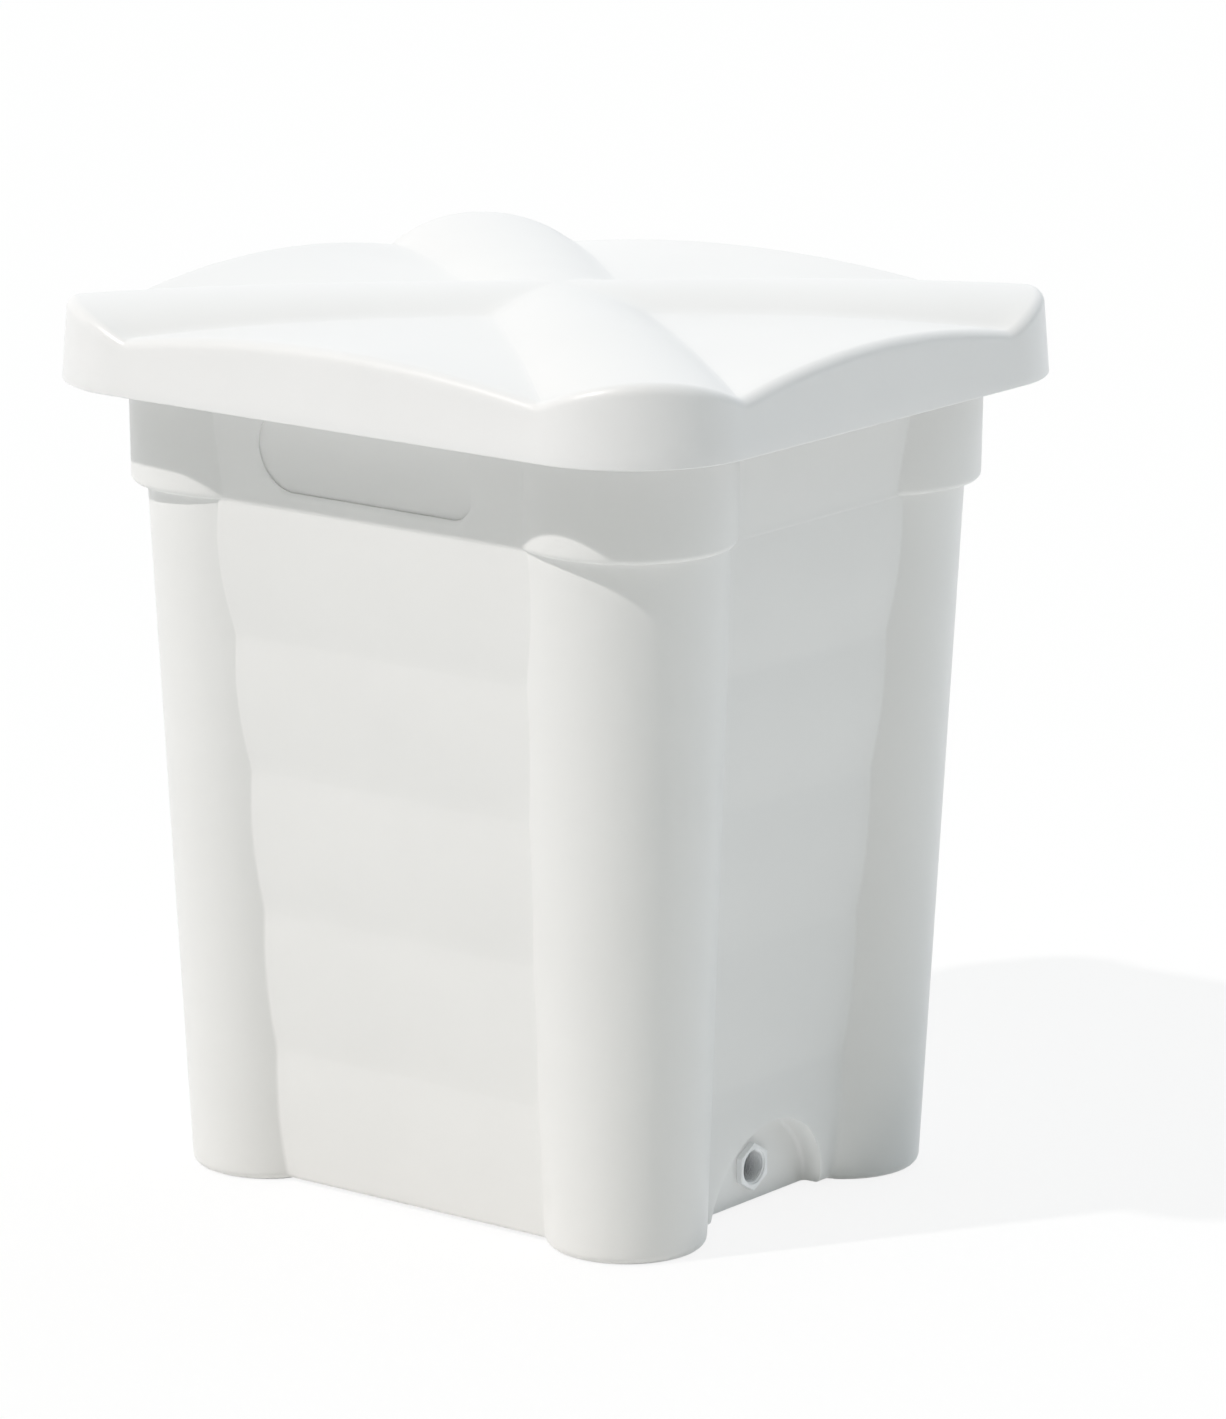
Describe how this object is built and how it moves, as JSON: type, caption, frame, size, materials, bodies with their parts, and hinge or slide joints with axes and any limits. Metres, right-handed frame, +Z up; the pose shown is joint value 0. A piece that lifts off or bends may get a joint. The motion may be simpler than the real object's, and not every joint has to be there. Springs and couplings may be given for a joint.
{
  "type": "lidded drain tank",
  "caption": "Free-standing rotomoulded plastic tank with rounded corner columns, a ridged lift-off lid and a threaded hex drain outlet at the foot of one side.",
  "frame": {"origin": "on the ground under the middle of the tank", "axes": "+Z up; -Y is the front face with the bare label pad; +X is the side face with the outlet"},
  "size_m": [0.6, 0.5448, 0.6725],
  "materials": {
    "tank_plastic": "satin rotomoulded polyethylene, white",
    "insert_plastic": "satin moulded plastic, white",
    "lid_plastic": "satin rotomoulded polyethylene, white"
  },
  "bodies": {
    "tank": {"tank_shell": "tank_plastic", "outlet_insert": "insert_plastic"},
    "lid": {"lid": "lid_plastic"}
  },
  "joints": [
    {"name": "lid_lift", "type": "slide", "parent": "tank", "child": "lid", "axis": [0, 0, 1], "range_m": [0, 0.3]}
  ]
}
